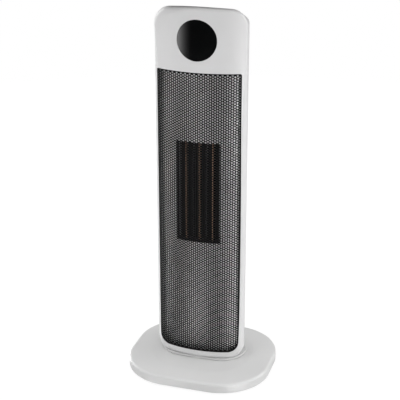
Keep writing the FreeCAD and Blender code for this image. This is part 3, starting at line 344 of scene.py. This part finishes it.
def pulled_in(x, z):
    """The place itself, or the nearest one on the grille's outline."""
    x = min(max(x, -GRILLE_HALF), GRILLE_HALF)
    z = min(max(z, GRILLE_LOW), GRILLE_HIGH)
    across = GRILLE_HALF - FOOT_ROUND
    up = GRILLE_LOW + FOOT_ROUND
    dx = abs(x) - across
    dz = up - z
    reach = math.hypot(dx, dz)
    if dx > 0 and dz > 0 and reach > FOOT_ROUND:
        x = math.copysign(across + dx * FOOT_ROUND / reach, x)
        z = up - dz * FOOT_ROUND / reach
    return x, z


def join_rings(work, first, second):
    """A closed band of four-sided faces between two rings of as many points."""
    for k in range(len(first)):
        work.faces.new([first[k - 1], first[k], second[k], second[k - 1]])


def pierced_sheet(work):
    """Six-sided cells side by side: pierced ones over the field, plain ones along the border."""
    step = HOLE_PITCH * HEX_FLAT
    cell = HOLE_PITCH / 2 / HEX_FLAT
    hole = HOLE_ACROSS / 2 / HEX_FLAT
    columns = int(GRILLE_HALF / step) + SPARE_COLUMNS
    rows = int((GRILLE_HIGH - GRILLE_LOW) / HOLE_PITCH) + SPARE_ROWS
    angles = [k * math.tau / HEX_SIDES for k in range(HEX_SIDES)]
    shared = {}

    def hexagon(x, z, reach):
        return [(x + reach * math.cos(a), z + reach * math.sin(a)) for a in angles]

    def corner(x, z, radius):
        """The point that cells which meet there share."""
        x, z = pulled_in(x, z)
        key = (round(x * MICRONS_PER_METRE), round(z * MICRONS_PER_METRE), radius)
        if key not in shared:
            shared[key] = work.verts.new(bowed(x, z, radius))
        return shared[key]

    def plain_cell(x, z):
        for radius in (GRILLE_RADIUS, SHEET_BACK):
            outer = [corner(*place, radius) for place in hexagon(x, z, cell)]
            distinct = list(dict.fromkeys(outer))
            if len(distinct) > 2:
                work.faces.new(distinct)

    def pierced_cell(x, z):
        hole_rings = []
        for radius in (GRILLE_RADIUS, SHEET_BACK):
            outer = [corner(*place, radius) for place in hexagon(x, z, cell)]
            inner = [work.verts.new(bowed(*place, radius)) for place in hexagon(x, z, hole)]
            join_rings(work, outer, inner)
            hole_rings.append(inner)
        join_rings(work, *hole_rings)

    for column in range(-columns, columns + 1):
        stagger = 0.5 if column % 2 else 0.0
        for row in range(rows):
            x = column * step
            z = GRILLE_LOW + (row - stagger) * HOLE_PITCH
            if inside_outline(x, z, BORDER + HOLE_ACROSS * EDGE_HOLE_SHARE):
                pierced_cell(x, z)
            elif inside_outline(x, z, -EDGE_CELL_SHARE * HOLE_PITCH):
                plain_cell(x, z)

    back_of = {shared[x, z, radius]: shared[x, z, SHEET_BACK]
               for x, z, radius in shared if radius == GRILLE_RADIUS}
    rim = [edge for edge in work.edges if edge.is_boundary and all(v in back_of for v in edge.verts)]
    for edge in rim:
        a, b = edge.verts
        work.faces.new([a, b, back_of[b], back_of[a]])


def outline_points():
    """Places round the grille's edge: from the foot's right corner up, over the top and down the left."""
    corners = ((GRILLE_HALF, GRILLE_LOW, FOOT_ROUND, -90), (GRILLE_HALF, GRILLE_HIGH, TOP_ROUND, 0),
               (-GRILLE_HALF, GRILLE_HIGH, TOP_ROUND, 90), (-GRILLE_HALF, GRILLE_LOW, FOOT_ROUND, 180))
    points = []
    for x, z, r, start in corners:
        cx = x - math.copysign(r, x)
        cz = z + r if z == GRILLE_LOW else z - r
        for k in range(ROUND_STEPS + 1):
            a = math.radians(start + QUARTER_TURN * k / ROUND_STEPS)
            points.append((cx + r * math.cos(a), cz + r * math.sin(a)))
    close_points = []
    for (x0, z0), (x1, z1) in zip(points, points[1:] + points[:1]):
        count = max(1, int(abs(x1 - x0) / EDGE_STEP))
        close_points += [(x0 + (x1 - x0) * k / count, z0 + (z1 - z0) * k / count) for k in range(count)]
    return close_points


def inset(ring, margin):
    """The same ring moved in by that much along its own normals."""
    moved = []
    count = len(ring)
    for k, (x, z) in enumerate(ring):
        x0, z0 = ring[k - 1]
        x1, z1 = ring[(k + 1) % count]
        run = math.hypot(x1 - x0, z1 - z0)
        moved.append((x - (z1 - z0) / run * margin, z + (x1 - x0) / run * margin))
    return moved


def border_strip(work):
    """The sheet's plain edge with its flange folded back towards the panel."""
    outer = outline_points()
    inner = inset(outer, BORDER)
    wall = inset(outer, FLANGE_WALL)
    face = GRILLE_RADIUS + BORDER_PROUD
    back = SHEET_BACK - BORDER_PROUD
    deep = back - FLANGE_DEPTH
    section = ((outer, face), (inner, face), (inner, back), (wall, back), (wall, deep), (outer, deep))
    rings = [[work.verts.new(bowed(x, z, radius)) for x, z in ring] for ring, radius in section]
    for first, second in zip(rings, rings[1:] + rings[:1]):
        join_rings(work, first, second)


def new_piece(name, mesh_maker, finish, body):
    """A piece of the scene's own that moves with a body of the frame."""
    work = bmesh.new()
    mesh_maker(work)
    bmesh.ops.recalc_face_normals(work, faces=work.faces)
    data = bpy.data.meshes.new(name)
    work.to_mesh(data)
    work.free()
    data.materials.append(FINISHES[finish])
    item = bpy.data.objects.new(name, data)
    bpy.context.collection.objects.link(item)
    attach(item, body)
    return item


mesh_sheet = new_piece("grille_mesh", pierced_sheet, "mesh", "tower")
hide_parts("front_grille")
new_piece("grille_border", border_strip, "border", "tower")


# Stage: a round pale table in a white room, with a dim room and lit cards for reflections alone

WHITE = (1.0, 1.0, 1.0)
AMBIENT = 0.345
DIM_ROOM = 0.02
TABLE_RADIUS = 1.85
TABLE_SIDES = 96
TABLE_DROP = 0.2 * MM
TABLE_GLOW = 1.06
TABLE_PAINT = (0.84, 0.84, 0.84)
MIRRORED_PAINT = (0.4, 0.4, 0.4)
SHADOW_FULL = 0.25
SHADOW_ENDS = 0.5
SHADOW_WHITE = 0.84
FLAG_HEIGHT = 0.590
FLAG_ENDS = (-0.05, 0.085)
FLAG_OVERHANG = 1.0 * MM
FLAG_BACK = -0.01
FLAG_STEPS = 16
FLAG_BLACK = (0.01, 0.01, 0.01)
TABLE_LAMP_REACH = 1.4
TABLE_LAMP_HEIGHT = 0.9
CARD_LIFT = 0.4 * MM
FADE_POWER = 3.0
TOWER_MIDDLE = (0, 0, 0.3)


def seen_directly(paint):
    """One for the rays that come straight from the camera, also through a hole or a clear piece."""
    camera = paint.wire("LightPath", "Is Camera Ray")
    return camera.math("MAXIMUM", paint.wire("LightPath", "Is Transmission Ray"))


def stage_piece(name, data, paint):
    """A piece of the studio, which is no part of the heater."""
    item = bpy.data.objects.new(name, data)
    bpy.context.collection.objects.link(item)
    data.materials.append(paint.owner)
    return item


def make_floor():
    """A round white table top: it keeps a faint shadow near the heater and runs out to plain white."""
    data = bpy.data.meshes.new("floor")
    work = bmesh.new()
    bmesh.ops.create_circle(work, cap_ends=True, segments=TABLE_SIDES, radius=TABLE_RADIUS)
    work.to_mesh(data)
    work.free()
    paint = Paint("pale_floor")
    reach = paint.wire("VectorMath", "Value", {"operation": "LENGTH"}, _0=paint.place())
    share = seen_directly(paint) * reach.between(SHADOW_FULL, SHADOW_ENDS, SHADOW_WHITE, 1.0)
    mirrored = paint.wire("LightPath", "Is Glossy Ray")
    pale = paint.wire("BsdfDiffuse", Color=paint.blend(mirrored, TABLE_PAINT, MIRRORED_PAINT))
    white = paint.wire("Emission", Color=WHITE, Strength=TABLE_GLOW)
    paint.surface(paint.wire("MixShader", _0=share, _1=pale, _2=white))
    stage_piece("floor", data, paint).location.z = -TABLE_DROP


def make_world():
    """White where the camera sees it, dim in reflections and soft as a light."""
    world = bpy.data.worlds.new("studio")
    bpy.context.scene.world = world
    paint = Paint("studio", world)
    glossy = paint.wire("LightPath", "Is Glossy Ray")
    seen = seen_directly(paint)
    strength = seen + (1.0 - seen) * (AMBIENT + glossy * (DIM_ROOM - AMBIENT))
    paint.node("OutputWorld", Surface=paint.wire("Background", Color=WHITE, Strength=strength))


def make_flag():
    """A black flag close over the head, bowed in front like the casing, keeps light off its top edge."""
    data = bpy.data.meshes.new("flag")
    left, right = FLAG_ENDS
    across = [left + (right - left) * k / FLAG_STEPS for k in range(FLAG_STEPS + 1)]
    front = [bowed(x, FLAG_HEIGHT, FRONT_RADIUS + FLAG_OVERHANG) for x in across]
    back = [Vector((x, FLAG_BACK, FLAG_HEIGHT)) for x in reversed(across)]
    data.from_pydata(front + back, [], [range(len(front + back))])
    paint = Paint("black_flag")
    paint.surface(paint.wire("BsdfDiffuse", Color=FLAG_BLACK))
    stage_piece("flag", data, paint).visible_camera = False


def towards(azimuth, distance, height):
    """A place that far from the heater, with the azimuth counted from its front to its right."""
    turn = math.radians(azimuth)
    return Vector((distance * math.sin(turn), -distance * math.cos(turn), height))


def soft_lamp(name, place, aim, size, power):
    """A broad studio lamp that points at a place."""
    lamp = bpy.data.lights.new(name, "AREA")
    lamp.shape = "RECTANGLE"
    lamp.size, lamp.size_y = size
    lamp.energy = power
    item = bpy.data.objects.new(name, lamp)
    item.location = place
    item.rotation_euler = (Vector(aim) - Vector(place)).to_track_quat("-Z", "Y").to_euler()
    bpy.context.collection.objects.link(item)


def table_lamp(name, azimuth, size, power):
    """A lamp that hangs over the table in front of the heater and points straight down."""
    place = towards(azimuth, TABLE_LAMP_REACH, TABLE_LAMP_HEIGHT)
    soft_lamp(name, place, towards(azimuth, TABLE_LAMP_REACH, 0.0), size, power)


def reflector(name, corners, strength, fade=None):
    """A lit white card that only shows in reflections; a fade runs from a dark azimuth to a lit one."""
    data = bpy.data.meshes.new(name)
    data.from_pydata(corners, [], [range(len(corners))])
    paint = Paint(name)
    colour = WHITE
    if fade:
        dark, lit = fade
        x, y = paint.across_and_deep()
        share = x.math("ARCTAN2", y * -1.0).between(math.radians(dark), math.radians(lit))
        colour = paint.blend(share.math("POWER", FADE_POWER), (DIM_ROOM / strength,) * 3, WHITE)
    paint.surface(paint.wire("Emission", Color=colour, Strength=strength))
    card = stage_piece(name, data, paint)
    card.visible_camera = False
    card.visible_diffuse = False
    card.visible_shadow = False


def upright_card(name, azimuths, distance, heights, strength, fade):
    """A reflector that stands on edge at that distance."""
    low, high = heights
    left, right = azimuths
    corners = [towards(left, distance, low), towards(right, distance, low),
               towards(right, distance, high), towards(left, distance, high)]
    reflector(name, corners, strength, fade)


def table_card(name, azimuths, distances, strength):
    """A reflector that lies on the table."""
    near, far = distances
    left, right = azimuths
    corners = [towards(left, near, CARD_LIFT), towards(right, near, CARD_LIFT),
               towards(right, far, CARD_LIFT), towards(left, far, CARD_LIFT)]
    reflector(name, corners, strength)


make_floor()
make_world()
make_flag()
soft_lamp("key_right", (1.9, 0.3, 0.9), TOWER_MIDDLE, size=(1.4, 1.6), power=26.0)
soft_lamp("left_side", (-1.75, 0.7, 0.8), TOWER_MIDDLE, size=(1.4, 1.6), power=18.0)
soft_lamp("overhead", (0.0, -0.3, 2.6), (0, 0, 0), size=(2.4, 2.4), power=21.5)
table_lamp("table_left", azimuth=-26.0, size=(0.8, 0.9), power=8.4)
table_lamp("table_right", azimuth=24.0, size=(0.4, 0.9), power=4.6)
upright_card("left_card", azimuths=(-62.0, -22.0), distance=1.3, heights=(0.19, 0.34), strength=3.5,
             fade=(-20.0, -38.0))
table_card("side_card", azimuths=(-95.0, -66.0), distances=(0.13, 1.84), strength=5.0)
table_card("near_card", azimuths=(-34.0, 0.0), distances=(0.11, 0.27), strength=2.0)
table_card("front_card", azimuths=(-34.0, 0.0), distances=(0.27, 1.2), strength=1.3)
table_card("far_card", azimuths=(-34.0, 4.0), distances=(1.6, 2.0), strength=7.5)
table_card("right_near_card", azimuths=(34.0, 52.0), distances=(0.13, 1.0), strength=5.6)
table_card("right_far_card", azimuths=(34.0, 52.0), distances=(1.0, 2.0), strength=20.0)


# Camera: where the photograph was taken

ORBIT_SETBACK = 0.0317
SENSOR = 36.0
PHOTO_PIXELS = 400.0
NEAREST_SEEN = 0.05


def photo_camera(azimuth, distance, height, pitch, focal_pixels, aside):
    """A camera on a circle round a line a little behind the frame's own: degrees and metres."""
    lens = bpy.data.cameras.new("photo_camera")
    lens.sensor_fit = "HORIZONTAL"
    lens.sensor_width = SENSOR
    lens.lens = SENSOR * focal_pixels / PHOTO_PIXELS
    lens.clip_start = NEAREST_SEEN
    item = bpy.data.objects.new("photo_camera", lens)
    bpy.context.collection.objects.link(item)
    turn = math.radians(azimuth)
    right = Vector((math.cos(turn), math.sin(turn), 0))
    stand = Vector((distance * math.sin(turn), ORBIT_SETBACK - distance * math.cos(turn), height))
    item.location = stand + right * aside
    item.rotation_euler = (math.radians(90.0 - pitch), 0.0, turn)
    bpy.context.scene.camera = item


photo_camera(azimuth=17.19, distance=1.5556, height=0.8681, pitch=21.112, focal_pixels=1061.7, aside=-0.0142)
bpy.context.scene.view_settings.view_transform = "Standard"
